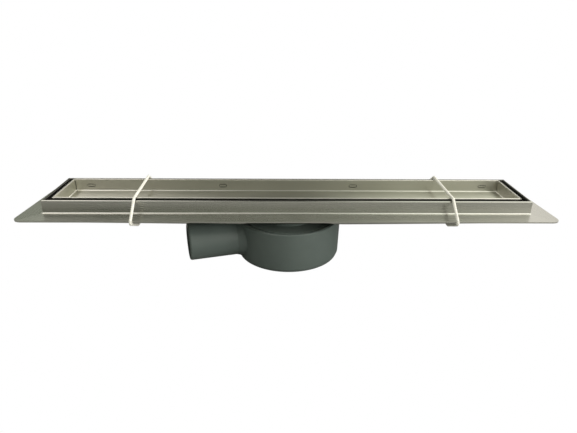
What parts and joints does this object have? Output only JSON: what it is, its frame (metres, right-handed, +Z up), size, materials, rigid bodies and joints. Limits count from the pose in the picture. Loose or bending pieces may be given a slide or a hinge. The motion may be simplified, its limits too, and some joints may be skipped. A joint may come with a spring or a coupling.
{
  "type": "channel drain",
  "caption": "Long stainless shower channel with a bonding flange, a tile tray lying in it, and a round low water trap below whose side outlet turns about the outlet neck.",
  "frame": {"origin": "centre of the trap's flat base, on the surface it stands on, under the middle of the channel", "axes": "+X along the channel, +Y across it to the back, +Z up; the outlet spigot points to -X, turned 16 degrees to the front"},
  "size_m": [0.5448, 0.1174, 0.0765],
  "materials": {
    "stainless_steel": "fine lengthwise brushed",
    "tray_steel": "fine lengthwise brushed, bright cut edges",
    "spring_steel": "plain spring steel",
    "grey_plastic": "smooth moulded, faint sheen",
    "insert_plastic": "smooth moulded",
    "seal_rubber": "plain",
    "tie_cord": "twisted white cord"
  },
  "bodies": {
    "channel": {"channel_trough": "stainless_steel", "end_cap_left": "stainless_steel", "end_cap_right": "stainless_steel", "insert_cup": "insert_plastic", "insert_seal": "seal_rubber", "outlet_neck": "stainless_steel", "retaining_ring": "spring_steel", "tie_cord_left": "tie_cord", "tie_cord_right": "tie_cord", "tile_tray": "tray_steel", "trap_insert": "insert_plastic", "tray_leg_back_1": "tray_steel", "tray_leg_back_2": "tray_steel", "tray_leg_back_3": "tray_steel", "tray_leg_back_4": "tray_steel", "tray_leg_front_1": "tray_steel", "tray_leg_front_2": "tray_steel", "tray_leg_front_3": "tray_steel", "tray_leg_front_4": "tray_steel"},
    "trap": {"trap_body": "grey_plastic", "trap_cover": "grey_plastic", "neck_seal": "seal_rubber"}
  },
  "joints": [
    {"name": "trap_swivel", "type": "hinge", "parent": "channel", "child": "trap", "pos_m": [0, 0, 0], "axis": [0, 0, 1], "continuous": true}
  ]
}
